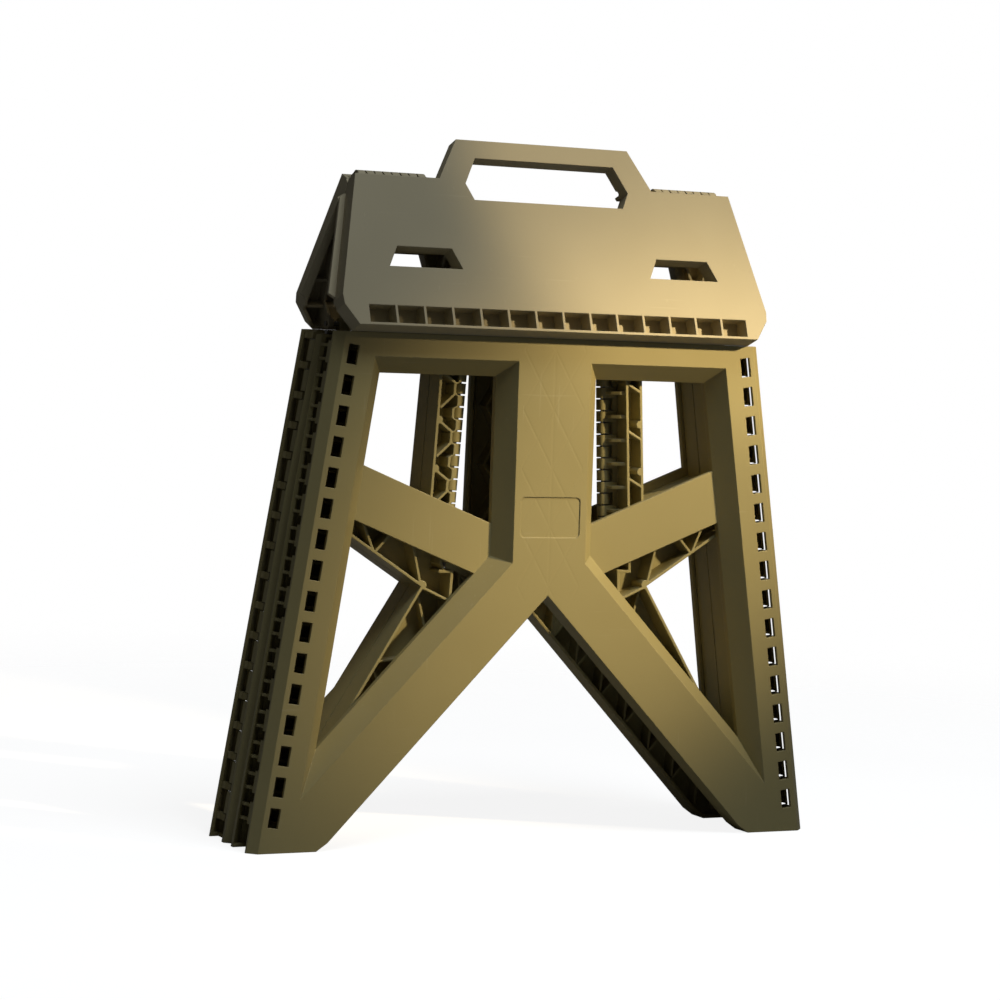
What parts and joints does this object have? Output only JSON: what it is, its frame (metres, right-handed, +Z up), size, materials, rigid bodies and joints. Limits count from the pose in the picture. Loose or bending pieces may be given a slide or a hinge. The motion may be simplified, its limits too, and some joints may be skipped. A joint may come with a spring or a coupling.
{
  "type": "folding step stool",
  "caption": "Folding step stool with moulded lattice leg panels, hinged side halves and a two-part slotted seat with a carrying handle, stored folded flat",
  "frame": {"origin": "on the floor in the middle of the folded stack", "axes": "X across the stool, Y from the front leg panel to the rear one, Z up"},
  "size_m": [0.4136, 0.0916, 0.4621],
  "materials": {
    "leg_plastic": "satin moulded polypropylene in army tan",
    "side_plastic": "satin moulded polypropylene in army tan",
    "seat_plastic": "satin moulded polypropylene in army tan",
    "steel": "drawn steel wire pin"
  },
  "bodies": {
    "front_leg": {"front_leg_panel": "leg_plastic", "corner_pin_front_left": "steel", "corner_pin_front_right": "steel", "seat_pin_front": "steel"},
    "front_left_side": {"front_left_side_half": "side_plastic", "mid_pin_left": "steel"},
    "rear_left_side": {"rear_left_side_half": "side_plastic"},
    "rear_leg": {"rear_leg_panel": "leg_plastic", "corner_pin_rear_left": "steel", "corner_pin_rear_right": "steel", "seat_pin_rear": "steel"},
    "front_right_side": {"front_right_side_half": "side_plastic", "mid_pin_right": "steel"},
    "rear_right_side": {"rear_right_side_half": "side_plastic"},
    "front_seat": {"front_seat_half": "seat_plastic", "seam_pin_left": "steel", "seam_pin_right": "steel"},
    "rear_seat": {"rear_seat_half": "seat_plastic"}
  },
  "joints": [
    {"name": "fold", "type": "hinge", "parent": "front_leg", "child": "front_left_side", "pos_m": [-0.171, -0.01878, 0.15], "axis": [0.1487, 0.0163, 0.9887], "range_deg": [0, 74.74]},
    {"name": "left_middle_hinge", "type": "hinge", "parent": "front_left_side", "child": "rear_left_side", "pos_m": [-0.05652, 0, 0.25], "axis": [0.0544, 0, 0.9985], "range_deg": [-148.28, 0.2]},
    {"name": "rear_left_corner", "type": "hinge", "parent": "rear_left_side", "child": "rear_leg", "pos_m": [-0.171, 0.01878, 0.15], "axis": [0.1487, -0.0163, 0.9887], "range_deg": [-0.2, 74.94]},
    {"name": "front_right_corner", "type": "hinge", "parent": "front_leg", "child": "front_right_side", "pos_m": [0.171, -0.01878, 0.15], "axis": [-0.1487, 0.0163, 0.9887], "range_deg": [-74.94, 0.2]},
    {"name": "right_middle_hinge", "type": "hinge", "parent": "front_right_side", "child": "rear_right_side", "pos_m": [0.05652, 0, 0.25], "axis": [-0.0544, 0, 0.9985], "range_deg": [-0.2, 148.28]},
    {"name": "front_seat_hinge", "type": "hinge", "parent": "front_leg", "child": "front_seat", "pos_m": [0, -0.02051, 0.33799], "axis": [1, 0, 0], "range_deg": [-65.77, 0.2]},
    {"name": "rear_seat_hinge", "type": "hinge", "parent": "rear_leg", "child": "rear_seat", "pos_m": [0, 0.02051, 0.33799], "axis": [1, 0, 0], "range_deg": [-0.2, 65.77]}
  ],
  "couplings": [
    {"joint": "left_middle_hinge", "follows": "fold", "ratio": -1.9812},
    {"joint": "rear_left_corner", "follows": "fold", "ratio": 1},
    {"joint": "front_right_corner", "follows": "fold", "ratio": -1},
    {"joint": "right_middle_hinge", "follows": "fold", "ratio": 1.9812},
    {"joint": "front_seat_hinge", "follows": "fold", "ratio": -0.87736},
    {"joint": "rear_seat_hinge", "follows": "fold", "ratio": 0.87736}
  ]
}
